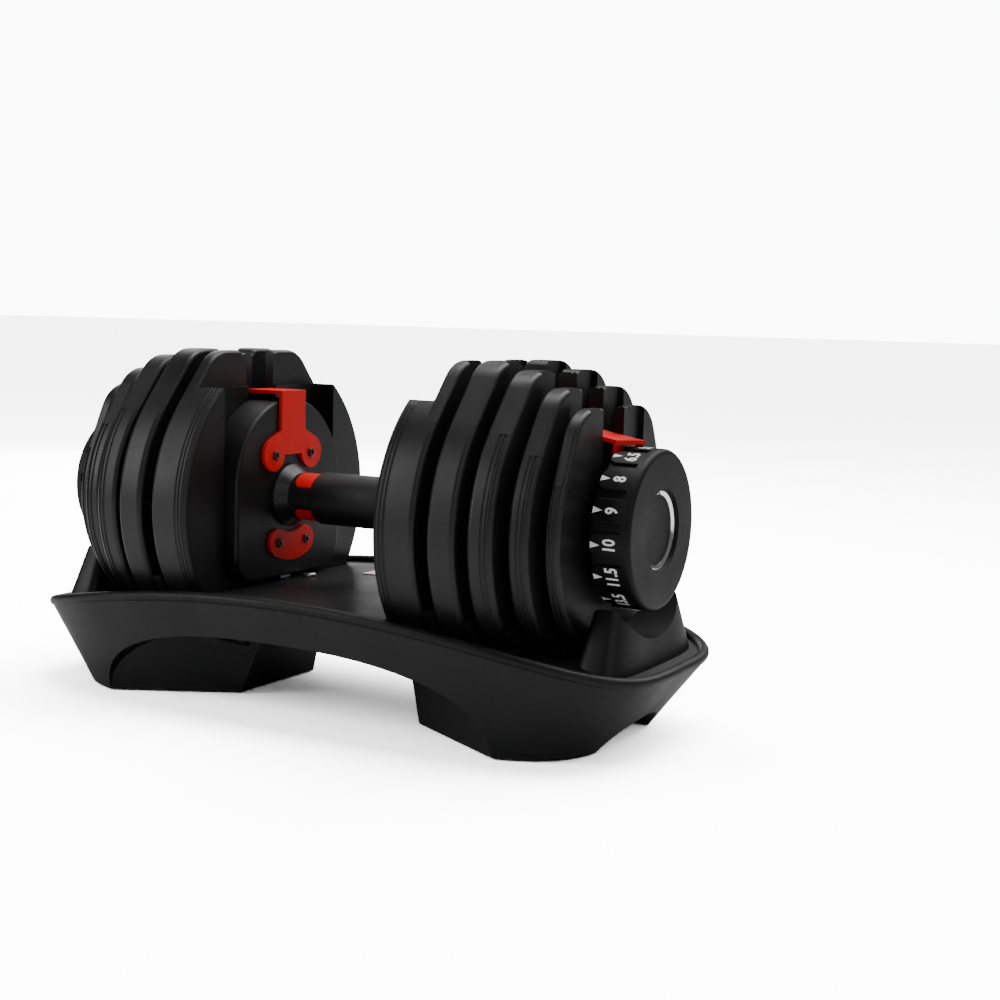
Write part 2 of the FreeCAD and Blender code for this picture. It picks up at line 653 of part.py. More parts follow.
def end_arches(grow=0.0):
    """A low arch under each short end, grown by a wall where asked."""
    arches = []
    half = END_ARCH_HALF + grow
    start = FOOT_HALF_LENGTH - 50
    for side in (-1, 1):
        tube = Part.makeCylinder(half, 130, Vector(side * start, 0, 0), Vector(side, 0, 0))
        squash = FreeCAD.Matrix()
        squash.scale(1, 1, (END_ARCH_HEIGHT + grow) / half)
        arches.append(tube.transformGeometry(squash))
    return arches


def well_outer(grow=0.0):
    """The trough walls that hang under the tray floor, round every plate's rim."""
    wells = []
    for number in PLATES:
        inner, outer, radius, _ = PLATES[number]
        reach = radius + WELL_GAP + WELL_WALL + grow
        well = rod(reach, inner - WELL_GAP - WELL_WALL - grow, outer + WELL_GAP + WELL_WALL + grow,
                   PLATE_DROP)
        wells += [well, other_end(well)]
    return wells


def well_inner():
    wells = []
    for number in PLATES:
        inner, outer, radius, _ = PLATES[number]
        well = rod(radius + WELL_GAP, inner - WELL_GAP, outer + WELL_GAP, PLATE_DROP)
        wells += [well, other_end(well)]
    return wells


def base_shell(tray_solid):
    """The moulded skirt and its four feet, hollow from below, cut to take the tray."""
    body = flared(0.0).common(under_arch())
    body = body.cut(block(-300, 300, -150, 150, -10, GROUND_GAP))
    tray_space = flared(-CRADLE_WALL).cut(under_arch(PAN_LEVEL - PAN_THICK))
    body = body.cut(tray_space)
    feet = foot_plan()
    body = body.cut(side_arch().cut(feet[0]).cut(feet[1]))
    for arch in end_arches():
        body = body.cut(arch)
    roof = under_arch(PAN_LEVEL - PAN_THICK - CRADLE_WALL)
    hollow = flared(-CRADLE_WALL).common(roof)
    for inner_foot in foot_plan(CRADLE_WALL):
        room = hollow.common(inner_foot)
        for arch in end_arches(CRADLE_WALL):
            room = room.cut(arch)
        for boss in pad_bosses():
            room = room.cut(boss)
        body = body.cut(room)
    for well in well_outer(0.3):
        body = body.cut(well)
    for pad in foot_pads():
        body = body.cut(pad)
    pieces = body.cut(tray_solid).Solids
    return max(pieces, key=lambda piece: piece.Volume)


def corners_at(x, y):
    return [(sx * x, sy * y) for sx in (-1, 1) for sy in (-1, 1)]


def pad_bosses():
    return [Part.makeCylinder(PAD_RADIUS + 3, 30, Vector(x, y, 0), Z_AXIS)
            for x, y in corners_at(PAD_X, PAD_Y)]


def foot_pads():
    return [Part.makeCylinder(PAD_RADIUS, PAD_HEIGHT, Vector(x, y, 0), Z_AXIS)
            for x, y in corners_at(PAD_X, PAD_Y)]


def mound():
    """The saddle at one end of the tray, which the dial hangs over."""
    wires = []
    sections = ((MOUND_HALF_LENGTH, MOUND_HALF_WIDTH, LIP_END_Z - 2.0),
                (MOUND_HALF_LENGTH * 0.6, MOUND_HALF_WIDTH * 0.68, MOUND_TOP_Z))
    for half_length, half_width, z in sections:
        wire = plan_wire(half_length, half_width, z)
        wire.translate(Vector(MOUND_X, 0, 0))
        wires.append(wire)
    body = Part.makeLoft(wires, True, True)
    reach = 2 * MOUND_HALF_LENGTH + 20
    start = Vector(MOUND_X - reach / 2, 0, SADDLE_Z + SADDLE_RADIUS)
    dip = Part.makeCylinder(SADDLE_RADIUS, reach, start, X_AXIS)
    return body.cut(dip)


def rolled_lip():
    """The tray's round lip, which follows the seam all the way round."""
    points = []
    count = 64
    power = 2.0 / OUTLINE_POWER
    radius = arch_radius()
    for step in range(count):
        a = 2 * math.pi * step / count
        along = math.copysign(abs(math.cos(a)) ** power, math.cos(a))
        across = math.copysign(abs(math.sin(a)) ** power, math.sin(a))
        z = LIP_MID_Z
        for _ in range(12):
            x = (FOOT_HALF_LENGTH + END_FLARE * z - ROLL_INSET) * along
            z = LIP_MID_Z - radius + math.sqrt(radius ** 2 - x ** 2)
        y = (FOOT_HALF_WIDTH + SIDE_FLARE * z - ROLL_INSET) * across
        points.append(Vector(x, y, z + ROLL_RISE))
    curve = Part.BSplineCurve()
    curve.interpolate(points, PeriodicFlag=True)
    circle = Part.Wire(Part.Circle(points[0], Y_AXIS, ROLL_RADIUS).toShape())
    sweep = Part.BRepOffsetAPI.MakePipeShell(Part.Wire(curve.toShape()))
    sweep.setBiNormalMode(Z_AXIS)
    sweep.add(circle)
    sweep.build()
    sweep.makeSolid()
    return sweep.shape()


def tray():
    """The tray: a rolled lip, a sunk floor, troughs and ribs for the plates, and end saddles."""
    deck = flared(-ROLL_INSET).common(under_arch(PAN_LEVEL)).cut(under_arch())
    floor = flared(-CRADLE_WALL - 0.1).common(under_arch(0.5)).cut(under_arch(PAN_LEVEL - PAN_THICK))
    body = fuse_all([deck, floor])
    below = under_arch(PAN_LEVEL)
    wells = [well.common(below) for well in well_outer()]
    ribs = [rib.common(under_arch(PAN_LEVEL + RIB_RISE)) for rib in ribs_between()]
    body = fuse_all([body] + wells + ribs + [mound(), other_end(mound())])
    for well in well_inner():
        body = body.cut(well)
    body = body.fuse(rolled_lip())
    dial_room = rod(DIAL_RADIUS + 1.0, DIAL_FACE_X - DIAL_WIDTH - 2.0, DIAL_FACE_X + 20)
    body = body.cut(dial_room).cut(other_end(dial_room))
    for post in release_posts():
        body = body.cut(post)
    return body


def ribs_between():
    """Thin ribs that stand between neighbouring plates."""
    ribs = []
    for number in (1, 2, 3, 4):
        left = PLATES[number][1] + WELL_GAP
        right = PLATES[number + 1][0] - WELL_GAP
        reach = PLATES[number][2]
        rib = rod(reach, left, right, PLATE_DROP)
        ribs += [rib, other_end(rib)]
    return ribs


def release_posts():
    """The posts that push the lock yokes up when the handle is docked."""
    floor = LIP_MID_Z - 4.0
    post = block(LOCK_X - 1.0, LOCK_X + LOCK_THICK, -STEM_HALF, STEM_HALF, floor, post_top())
    return [post, other_end(post)]


def label_plate():
    """A blank label that lies in the middle of the tray floor."""
    tall = block(-LABEL_HALF_LENGTH, LABEL_HALF_LENGTH, *LABEL_Y, 0, LIP_MID_Z + 8)
    return tall.common(under_arch(PAN_LEVEL + LABEL_THICK)).cut(under_arch(PAN_LEVEL))


def deck_screws():
    """The oval-headed screws that hold the tray to the base."""
    place = Vector(DECK_SCREW_X, DECK_SCREW_Y, 0)
    tall = Part.makeCylinder(DECK_SCREW_RADIUS, LIP_MID_Z + 8, place, Z_AXIS)
    head = tall.common(under_arch(PAN_LEVEL + 2.0)).cut(under_arch(PAN_LEVEL))
    return [head, other_end(head)]


def write(name, shapes):
    """One STEP file for each node, checked first."""
    solids = shapes if isinstance(shapes, list) else [shapes]
    solids = [solid for shape in solids for solid in shape.Solids]
    for solid in solids:
        if not solid.isValid() or solid.Volume < 1:
            raise RuntimeError("bad solid in " + name)
    whole = solids[0] if len(solids) == 1 else Part.makeCompound(solids)
    whole.exportStep("parts/" + name + ".step")
    print(name, len(solids), round(sum(solid.Volume for solid in solids) / 1000, 1))


def write_pair(name, shape):
    write(name + "_right", shape)
    write(name + "_left", other_end(shape))


def main():
    os.makedirs("parts", exist_ok=True)
    tray_solid = tray()
    write("tray", tray_solid)
    write("base_shell", base_shell(tray_solid))
    write("foot_pads", foot_pads())
    write("release_posts", release_posts())
    write("label_plate", label_plate())
    write("deck_screws", deck_screws())
    write("main_shaft", main_shaft())
    write("grip_sleeve", grip())
    write("cover_screws", cover_screws() + [other_end(s) for s in cover_screws()])
    write("end_nuts", [end_nut(), other_end(end_nut())])
    for name, make in (("collar", collar), ("collar_inlays", collar_inlays),
                       ("inner_cover", inner_cover), ("cover_back", cover_back),
                       ("bridge", bridge), ("lower_retainer", lower_retainer),
                       ("lock_yoke", lock_yoke), ("lock_spring", lock_spring),
                       ("lock_ring", lock_ring), ("selector_sleeve", selector_sleeve),
                       ("dial_knob", dial_knob), ("dial_cap", dial_cap), ("dial_ring", dial_ring)):
        write_pair(name, make())
    for number in PLATES:
        write_pair("plate_%d" % number, plate(number))
        write_pair("selector_disc_%d" % number, selector_disc(number))


main()
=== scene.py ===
"""Looks of an adjustable dumbbell docked in its cradle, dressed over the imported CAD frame."""
import json
import logging
import math
from dataclasses import dataclass, field
from enum import Enum
from typing import Callable

import bmesh
import bpy
from mathutils import Matrix, Vector


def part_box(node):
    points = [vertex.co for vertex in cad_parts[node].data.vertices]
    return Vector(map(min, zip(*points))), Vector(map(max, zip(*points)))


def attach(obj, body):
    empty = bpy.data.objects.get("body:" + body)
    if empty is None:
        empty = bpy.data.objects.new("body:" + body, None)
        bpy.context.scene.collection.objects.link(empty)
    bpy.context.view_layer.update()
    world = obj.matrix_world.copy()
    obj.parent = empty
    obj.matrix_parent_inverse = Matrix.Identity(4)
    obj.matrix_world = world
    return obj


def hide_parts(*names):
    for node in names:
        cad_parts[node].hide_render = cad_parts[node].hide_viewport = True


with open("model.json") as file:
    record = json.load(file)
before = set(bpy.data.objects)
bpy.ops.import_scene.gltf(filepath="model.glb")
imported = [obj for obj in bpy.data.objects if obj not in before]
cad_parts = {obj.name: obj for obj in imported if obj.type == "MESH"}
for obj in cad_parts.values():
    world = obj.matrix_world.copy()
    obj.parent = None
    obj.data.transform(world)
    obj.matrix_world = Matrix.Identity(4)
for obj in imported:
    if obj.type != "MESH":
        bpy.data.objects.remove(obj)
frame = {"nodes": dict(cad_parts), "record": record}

LOG = logging.getLogger("dumbbell")
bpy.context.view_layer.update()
AXIS_Z = 0.124            # the handle's axis above the ground, docked
DIAL_FACE_X = 0.2         # outer face of a dial, from the middle
DOUBLES = 0.00001         # points nearer than this are one point
NEAR = 0.000001           # room for rounding when edges are picked by place
HALF_TURN = Matrix.Rotation(math.pi, 4, "Z")


class End(Enum):
    """The two ends of the handle."""

    RIGHT = "right"
    LEFT = "left"


# ---------------------------------------------------------------- working with meshes
def clear_selection() -> None:
    """Leave nothing selected, in object mode."""
    if bpy.context.object and bpy.context.object.mode != "OBJECT":
        bpy.ops.object.mode_set(mode="OBJECT")
    bpy.ops.object.select_all(action="DESELECT")


def make_active(obj: bpy.types.Object) -> None:
    """Select one object only and make it active."""
    clear_selection()
    obj.select_set(True)
    bpy.context.view_layer.objects.active = obj


def settle(obj: bpy.types.Object, name: str) -> bpy.types.Object:
    """Name a new object and move its place into its mesh."""
    make_active(obj)
    bpy.ops.object.transform_apply(location=True, rotation=True, scale=True)
    obj.name = name
    obj.data.name = name
    return obj


def pick(obj: bpy.types.Object, kind: str, wanted: Callable) -> int:
    """Select the elements of a mesh in edit mode that a test accepts.

    Args:
        obj: the object, which is in edit mode.
        kind: "verts", "edges" or "faces".
        wanted: the test, given one element.

    Returns:
        How many were selected.
    """
    mesh = bmesh.from_edit_mesh(obj.data)
    modes = {"verts": "VERT", "edges": "EDGE", "faces": "FACE"}
    bpy.ops.mesh.select_mode(type=modes[kind])
    bpy.ops.mesh.select_all(action="DESELECT")
    count = 0
    for element in getattr(mesh, kind):
        if wanted(element):
            element.select_set(True)
            count += 1
    mesh.select_flush_mode()
    bmesh.update_edit_mesh(obj.data)
    return count


def apply_all(obj: bpy.types.Object) -> None:
    """Apply every modifier of an object, in order."""
    make_active(obj)
    for modifier in list(obj.modifiers):
        bpy.ops.object.modifier_apply(modifier=modifier.name)


def smooth(obj: bpy.types.Object, degrees: float = 35.0) -> None:
    """Smooth the shading across edges flatter than an angle."""
    make_active(obj)
    bpy.ops.object.shade_smooth_by_angle(angle=math.radians(degrees))


def face_outward(obj: bpy.types.Object) -> None:
    """Merge doubles and point every face outwards."""
    make_active(obj)
    bpy.ops.object.mode_set(mode="EDIT")
    bpy.ops.mesh.select_all(action="SELECT")
    bpy.ops.mesh.remove_doubles(threshold=DOUBLES)
    bpy.ops.mesh.normals_make_consistent(inside=False)
    bpy.ops.object.mode_set(mode="OBJECT")


def join(parts: list[bpy.types.Object], name: str) -> bpy.types.Object:
    """Join several meshes into one object."""
    clear_selection()
    for part in parts:
        part.select_set(True)
    bpy.context.view_layer.objects.active = parts[0]
    if len(parts) > 1:
        bpy.ops.object.join()
    parts[0].name = name
    parts[0].data.name = name
    return parts[0]


def placed_copy(obj: bpy.types.Object, name: str, matrix: Matrix) -> bpy.types.Object:
    """Copy an object with its own mesh, moved by a matrix."""
    twin = obj.copy()
    twin.data = obj.data.copy()
    bpy.context.scene.collection.objects.link(twin)
    twin.data.transform(matrix)
    twin.name = name
    twin.data.name = name
    return twin


# ---------------------------------------------------------------- finishes
@dataclass(frozen=True)
class Finish:
    """A surface finish with a fine grain, slow mottling and uneven gloss."""

    name: str
    colour: tuple[float, float, float]
    roughness: float
    metallic: float = 0.0
    specular: float = 0.5
    coat: float = 0.0
    grain: float = 900.0
    depth: float = 0.00004
    mottle: float = 0.25
    gloss_range: float = 0.08
    mottle_scale: float = 22.0
    mottle_detail: float = 4.0
    mottle_span: tuple[float, float] = (0.3, 0.7)
    grain_detail: float = 3.0
    grain_strength: float = 0.6

    def build(self) -> bpy.types.Material:
        """Build the node material.

        Returns:
            The finished material.
        """
        material = bpy.data.materials.new(self.name)
        material.use_nodes = True
        nodes, links = material.node_tree.nodes, material.node_tree.links
        shader = nodes["Principled BSDF"]
        shader.inputs["Metallic"].default_value = self.metallic
        shader.inputs["Specular IOR Level"].default_value = self.specular
        shader.inputs["Coat Weight"].default_value = self.coat
        place = nodes.new("ShaderNodeTexCoord")

        slow = nodes.new("ShaderNodeTexNoise")
        slow.inputs["Scale"].default_value = self.mottle_scale
        slow.inputs["Detail"].default_value = self.mottle_detail
        links.new(place.outputs["Object"], slow.inputs["Vector"])
        tint = nodes.new("ShaderNodeMix")
        tint.data_type = "RGBA"
        low = [c * (1 - self.mottle) for c in self.colour]
        high = [min(1.0, c * (1 + self.mottle)) for c in self.colour]
        tint.inputs["A"].default_value = (*low, 1)
        tint.inputs["B"].default_value = (*high, 1)
        links.new(slow.outputs["Fac"], tint.inputs["Factor"])
        links.new(tint.outputs["Result"], shader.inputs["Base Color"])

        gloss = nodes.new("ShaderNodeMapRange")
        gloss.inputs["From Min"].default_value = self.mottle_span[0]
        gloss.inputs["From Max"].default_value = self.mottle_span[1]
        gloss.inputs["To Min"].default_value = self.roughness - self.gloss_range
        gloss.inputs["To Max"].default_value = self.roughness + self.gloss_range
        links.new(slow.outputs["Fac"], gloss.inputs["Value"])
        links.new(gloss.outputs["Result"], shader.inputs["Roughness"])

        fine = nodes.new("ShaderNodeTexNoise")
        fine.inputs["Scale"].default_value = self.grain
        fine.inputs["Detail"].default_value = self.grain_detail
        links.new(place.outputs["Object"], fine.inputs["Vector"])
        bump = nodes.new("ShaderNodeBump")
        bump.inputs["Distance"].default_value = self.depth
        bump.inputs["Strength"].default_value = self.grain_strength
        links.new(fine.outputs["Fac"], bump.inputs["Height"])
        links.new(bump.outputs["Normal"], shader.inputs["Normal"])
        return material


FINISHES = {
    "plate_coat": Finish("moulded_plate_coat", (0.0035, 0.0035, 0.0037), 0.44, specular=0.36),
    "skirt_plastic": Finish("grained_skirt_plastic", (0.005, 0.005, 0.0052), 0.50, specular=0.26,
                            grain=1400.0),
    "tray_plastic": Finish("satin_tray_plastic", (0.004, 0.004, 0.0042), 0.46, specular=0.22),
    "dial_plastic": Finish("satin_dial_plastic", (0.004, 0.004, 0.0042), 0.46, specular=0.15,
                           grain=1600.0),
    "disc_plastic": Finish("selector_plastic", (0.006, 0.006, 0.0062), 0.5, specular=0.3),
    "cover_plastic": Finish("grained_cover_plastic", (0.004, 0.004, 0.0042), 0.46, specular=0.32,
                            grain=1500.0),
    "collar_plastic": Finish("polished_collar_plastic", (0.008, 0.008, 0.0085), 0.36,
                             specular=0.3, gloss_range=0.05),
    "grip_rubber": Finish("matte_grip_rubber", (0.004, 0.004, 0.0042), 0.55, specular=0.3,
                          depth=0.00006),
    "red_paint": Finish("red_powder_coat", (0.60, 0.0012, 0.0012), 0.44, specular=0.2,
                        mottle=0.06),
    "bright_ring": Finish("polished_chrome", (0.92, 0.92, 0.93), 0.10, metallic=1.0, mottle=0.02,
                          gloss_range=0.02, depth=0.000005),
    "shaft_steel": Finish("zinc_steel", (0.55, 0.56, 0.57), 0.3, metallic=1.0, mottle=0.1),
    "screw_steel": Finish("plated_screw", (0.45, 0.45, 0.46), 0.3, metallic=1.0, mottle=0.1),
    "dark_screw": Finish("black_oxide_screw", (0.012, 0.012, 0.013), 0.35, metallic=0.4,
                         mottle=0.1),
    "foot_rubber": Finish("foot_rubber", (0.01, 0.01, 0.01), 0.7, specular=0.3),
    "label_vinyl": Finish("blank_label_vinyl", (0.55, 0.46, 0.47), 0.4, mottle=0.05),
}
PAD_PRINT = Finish("white_pad_print", (0.86, 0.86, 0.86), 0.45, mottle=0.04, depth=0.00001)


class Workshop:
    """Builds each finish once and gives it to pieces and frame nodes."""

    frame_angle: float = 30.0

    def __init__(self) -> None:
        """Start with no finish built."""
        self.made: dict[str, bpy.types.Material] = {}

    def material(self, slot: str) -> bpy.types.Material:
        """The material of a slot, built at its first use."""
        if slot not in self.made:
            self.made[slot] = FINISHES[slot].build()
        return self.made[slot]

    def print_white(self) -> bpy.types.Material:
        """The white ink of the dial's numbers."""
        if "print" not in self.made:
            self.made["print"] = PAD_PRINT.build()
        return self.made["print"]

    def dress(self, obj: bpy.types.Object, slot: str) -> None:
        """Give an object one finish all over."""
        obj.data.materials.clear()
        obj.data.materials.append(self.material(slot))

    def dress_frame(self) -> None:
        """Give every frame node the finish of its slot."""
        for part in frame["record"]["subparts"]:
            node = frame["nodes"][part["node"]]
            self.dress(node, part["material_slot"])
            smooth(node, self.frame_angle)


# ---------------------------------------------------------------- studio
@dataclass(frozen=True)
class Softbox:
    """A soft rectangular lamp that looks at a point."""

    name: str
    place: tuple[float, float, float]
    aim: tuple[float, float, float]
    size: tuple[float, float]
    power: float

    def hang(self) -> None:
        """Hang the lamp."""
        data = bpy.data.lights.new(self.name, "AREA")
        data.shape = "RECTANGLE"
        data.size, data.size_y = self.size
        data.energy = self.power
        lamp = bpy.data.objects.new(self.name, data)
        lamp.location = self.place
        towards = Vector(self.aim) - Vector(self.place)
        lamp.rotation_euler = towards.to_track_quat("-Z", "Y").to_euler()
        bpy.context.scene.collection.objects.link(lamp)


SOFTBOXES = (
    Softbox("top_softbox", (0.0, 0.25, 1.5), (0, 0, 0.1), (1.5, 0.7), 20.0),
    Softbox("front_left_softbox", (-1.3, -1.3, 0.9), (0, 0, 0.12), (0.6, 1.2), 18.0),
    Softbox("front_right_strip", (1.3, -1.5, 1.1), (0.1, 0, 0.1), (0.25, 1.2), 5.0),
    Softbox("right_softbox", (1.9, -0.5, 0.9), (0.1, 0, 0.12), (0.5, 1.0), 4.0),
    Softbox("back_left_softbox", (-1.2, 1.1, 0.8), (0, 0, 0.12), (0.9, 0.9), 8.0),
)


@dataclass
class Studio:
    """A wide pale floor, pale air, soft lamps, and the camera."""

    eye: tuple[float, float, float] = (0.5340, -0.7981, 0.2383)
    turn: float = 28.8
    tilt: float = -6.6
    roll: float = 1.6
    lens: float = 55.6
    far_view: float = 50.0
    floor_width: float = 80.0
    floor_paint: float = 0.8
    floor_seen: float = 8.0
    air_seen: float = 11.0
    air_light: float = 0.12
    sky_power: float = 2.6
    sky_spread: float = 50.0
    sky_from: tuple[float, float, float] = (0.25, 0.8, 1.0)

    def camera(self) -> None:
        """Place the camera at its eye point, turned, tilted and rolled in degrees."""
        turn, tilt, roll = (math.radians(a) for a in (self.turn, self.tilt, self.roll))
        forward = Vector((-math.sin(turn) * math.cos(tilt), math.cos(turn) * math.cos(tilt),
                          math.sin(tilt)))
        right = Vector((math.cos(turn), math.sin(turn), 0))
        up = right.cross(forward)
        side = right * math.cos(roll) + up * math.sin(roll)
        top = up * math.cos(roll) - right * math.sin(roll)
        data = bpy.data.cameras.new("camera")
        data.lens = self.lens
        data.clip_end = self.far_view
        camera = bpy.data.objects.new("camera", data)
        bpy.context.scene.collection.objects.link(camera)
        camera.matrix_world = Matrix((
            (side.x, top.x, -forward.x, self.eye[0]),
            (side.y, top.y, -forward.y, self.eye[1]),
            (side.z, top.z, -forward.z, self.eye[2]),
            (0, 0, 0, 1),
        ))
        bpy.context.scene.camera = camera

    def floor(self) -> None:
        """Lay a wide pale floor, which is brighter in the picture than in its own bounce."""
        clear_selection()
        bpy.ops.mesh.primitive_plane_add(size=self.floor_width, location=(0, 0, 0))
        floor = settle(bpy.context.object, "floor")
        material = bpy.data.materials.new("pale_floor")
        material.use_nodes = True
        nodes, links = material.node_tree.nodes, material.node_tree.links
        nodes.remove(nodes["Principled BSDF"])
        paint = nodes.new("ShaderNodeBsdfDiffuse")
        rays = nodes.new("ShaderNodeLightPath")
        level = nodes.new("ShaderNodeMapRange")
        level.inputs["To Min"].default_value = self.floor_paint
        level.inputs["To Max"].default_value = self.floor_seen
        links.new(rays.outputs["Is Camera Ray"], level.inputs["Value"])
        links.new(level.outputs["Result"], paint.inputs["Color"])
        links.new(paint.outputs["BSDF"], nodes["Material Output"].inputs["Surface"])
        floor.data.materials.append(material)

    def lamps(self) -> None:
        """Hang the soft lamps, and one very wide one that lights the whole floor evenly."""
        for softbox in SOFTBOXES:
            softbox.hang()
        data = bpy.data.lights.new("wide_sky", "SUN")
        data.energy = self.sky_power
        data.angle = math.radians(self.sky_spread)
        sky = bpy.data.objects.new("wide_sky", data)
        sky.rotation_euler = Vector(self.sky_from).to_track_quat("Z", "Y").to_euler()
        bpy.context.scene.collection.objects.link(sky)

    def air(self) -> None:
        """Fill the room with pale air that lights the object only a little."""
        world = bpy.data.worlds.new("studio_air")
        world.use_nodes = True
        nodes, links = world.node_tree.nodes, world.node_tree.links
        sky = nodes["Background"]
        sky.inputs["Color"].default_value = (1, 1, 1, 1)
        rays = nodes.new("ShaderNodeLightPath")
        level = nodes.new("ShaderNodeMapRange")
        level.inputs["To Min"].default_value = self.air_light
        level.inputs["To Max"].default_value = self.air_seen
        links.new(rays.outputs["Is Camera Ray"], level.inputs["Value"])
        links.new(level.outputs["Result"], sky.inputs["Strength"])
        bpy.context.scene.world = world

    def build(self) -> None:
        """Build the whole studio."""
        self.camera()
        self.floor()
        self.lamps()
        self.air()


# ---------------------------------------------------------------- dial marks
@dataclass
class DialMarks:
    """The white numbers and arrowheads round a dial, in metres from the middle."""

    radius: float = 0.046
    axis_z: float = AXIS_Z
    number_x: float = 0.1884
    number_size: float = 0.0102
    narrowing: float = 0.76
    widest: float = 0.0136
    weight: float = 0.00026
    arrow_x: float = 0.1797
    arrow_length: float = 0.0056
    arrow_width: float = 0.0038
    raised: float = 0.00012
    curve_steps: int = 3
    rest_setting: int = 3
    values: tuple[str, ...] = ("2.5", "3.5", "4.5", "5.5", "6.5", "8", "9", "10", "11.5", "13.5",
                               "16", "18", "20.5", "22.5", "24")

    def angle(self, setting: int) -> float:
        """The angle of a setting from the top of the dial, towards the front, in radians."""
        return 2 * math.pi / len(self.values) * (setting - self.rest_setting)

    def wrap(self, mark: bpy.types.Object, angle: float, along: float) -> None:
        """Wrap a flat mark round the dial's pad.

        Args:
            mark: a thin mesh that lies flat, reading along X, with its top towards Y.
            angle: the pad's angle from the top, towards the front.
            along: the distance along the handle of the mark's middle.
        """
        for vertex in mark.data.vertices:
            reading, upwards, height = vertex.co
            swing = angle - reading / self.radius
            reach = self.radius + height
            vertex.co = (along - upwards, -reach * math.sin(swing),
                         self.axis_z + reach * math.cos(swing))

    def number(self, setting: int) -> bpy.types.Object:
        """One number as a thin raised print on its pad."""
        clear_selection()
        bpy.ops.object.text_add(location=(0, 0, 0))
        text = bpy.context.object
        text.data.body = self.values[setting]
        text.data.align_x = "CENTER"
        text.data.align_y = "CENTER"
        text.data.size = self.number_size
        text.data.offset = self.weight
        text.data.extrude = self.raised
        text.data.resolution_u = self.curve_steps
        bpy.ops.object.convert(target="MESH")
        text = bpy.context.object
        across = max(v.co.x for v in text.data.vertices) - min(v.co.x for v in text.data.vertices)
        narrowing = min(self.narrowing, self.widest / across)
        text.data.transform(Matrix.Diagonal((narrowing, 1, 1, 1)))
        self.wrap(text, self.angle(setting), self.number_x)
        return text

    def arrow(self, setting: int) -> bpy.types.Object:
        """One arrowhead that points from the plates to its number."""
        clear_selection()
        bpy.ops.mesh.primitive_circle_add(vertices=3, radius=self.arrow_width / 2,
                                          fill_type="NGON")
        arrow = settle(bpy.context.object, "arrow")
        bpy.ops.object.mode_set(mode="EDIT")
        bpy.ops.mesh.select_all(action="SELECT")
        bpy.ops.mesh.extrude_region_move(TRANSFORM_OT_translate={"value": (0, 0, self.raised * 2)})
        bpy.ops.object.mode_set(mode="OBJECT")
        corners = [vertex.co.copy() for vertex in arrow.data.vertices]
        low = min(c.y for c in corners)
        tip = max(c.y for c in corners)
        half = max(abs(c.x) for c in corners)
        for vertex in arrow.data.vertices:
            share = (vertex.co.y - low) / (tip - low)
            vertex.co.x *= self.arrow_width / 2 / half
            vertex.co.y = (0.5 - share) * self.arrow_length
            vertex.co.z -= self.raised
        self.wrap(arrow, self.angle(setting), self.arrow_x)
        return arrow

    def build(self, workshop: Workshop) -> None:
        """Print both dials and let each print turn with its dial."""
        marks = []
        for setting in range(len(self.values)):
            marks += [self.number(setting), self.arrow(setting)]
        right = join(marks, "dial_marks_right")
        face_outward(right)
        left = placed_copy(right, "dial_marks_left", HALF_TURN)
        for end, piece in ((End.RIGHT, right), (End.LEFT, left)):
            piece.data.materials.clear()
            piece.data.materials.append(workshop.print_white())
            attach(piece, f"dial_{end.value}")


# ---------------------------------------------------------------- bright rings
@dataclass
class RecessRing:
    """The bright ring at the foot of a dial's recess, and the dark wall that rises round it.

    Each profile is a closed line of points, given as radius and depth below the dial's face.
    Its first and last points are its deepest.
    """

    face_x: float = DIAL_FACE_X
    axis_z: float = AXIS_Z
    facets: int = 128
    smooth_angle: float = 50.0
    bright: tuple[tuple[float, float], ...] = ((0.0201, 0.0034), (0.0216, 0.0023), (0.0221, 0.0021),
                                               (0.0226, 0.0023), (0.0226, 0.0034))
    wall: tuple[tuple[float, float], ...] = ((0.0227, 0.0034), (0.0228, 0.0022), (0.0231, 0.0007),
                                             (0.0233, 0.0004), (0.02345, 0.0005), (0.02348, 0.0034))

    def turned(self, name: str, profile: tuple[tuple[float, float], ...]) -> bpy.types.Object:
        """Turn a closed profile round the dial's axis.

        Args:
            name: the name of the new object.
            profile: its points, as radius and depth.

        Returns:
            The closed ring.
        """
        clear_selection()
        middle = (self.face_x, 0, self.axis_z)
        first_radius, deepest = profile[0]
        bpy.ops.mesh.primitive_circle_add(vertices=self.facets, radius=first_radius,
                                          location=(self.face_x - deepest, 0, self.axis_z),
                                          rotation=(0, math.pi / 2, 0))
        ring = settle(bpy.context.object, name)
        bpy.ops.object.mode_set(mode="EDIT")
        bpy.ops.mesh.select_all(action="SELECT")
        for (radius, depth), (next_radius, next_depth) in zip(profile, profile[1:]):
            step = (depth - next_depth, 0, 0)
            widen = next_radius / radius
            bpy.ops.mesh.extrude_edges_move(TRANSFORM_OT_translate={"value": step})
            bpy.ops.transform.resize(value=(1, widen, widen), center_override=middle)
        back = self.face_x - deepest + NEAR
        pick(ring, "edges", lambda e: all(v.co.x < back for v in e.verts))
        bpy.ops.mesh.bridge_edge_loops()
        bpy.ops.object.mode_set(mode="OBJECT")
        face_outward(ring)
        smooth(ring, self.smooth_angle)
        return ring

    def build(self, workshop: Workshop) -> None:
        """Model one ring and wall, copy them to the other end, and let each turn with its dial."""
        for name, profile, slot in (("recess_ring", self.bright, "bright_ring"),
                                    ("recess_wall", self.wall, "dial_plastic")):
            right = self.turned(f"{name}_right", profile)
            left = placed_copy(right, f"{name}_left", HALF_TURN)
            for end, piece in ((End.RIGHT, right), (End.LEFT, left)):
                workshop.dress(piece, slot)
                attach(piece, f"dial_{end.value}")
                if slot == "bright_ring":
                    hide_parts(f"dial_ring_{end.value}")


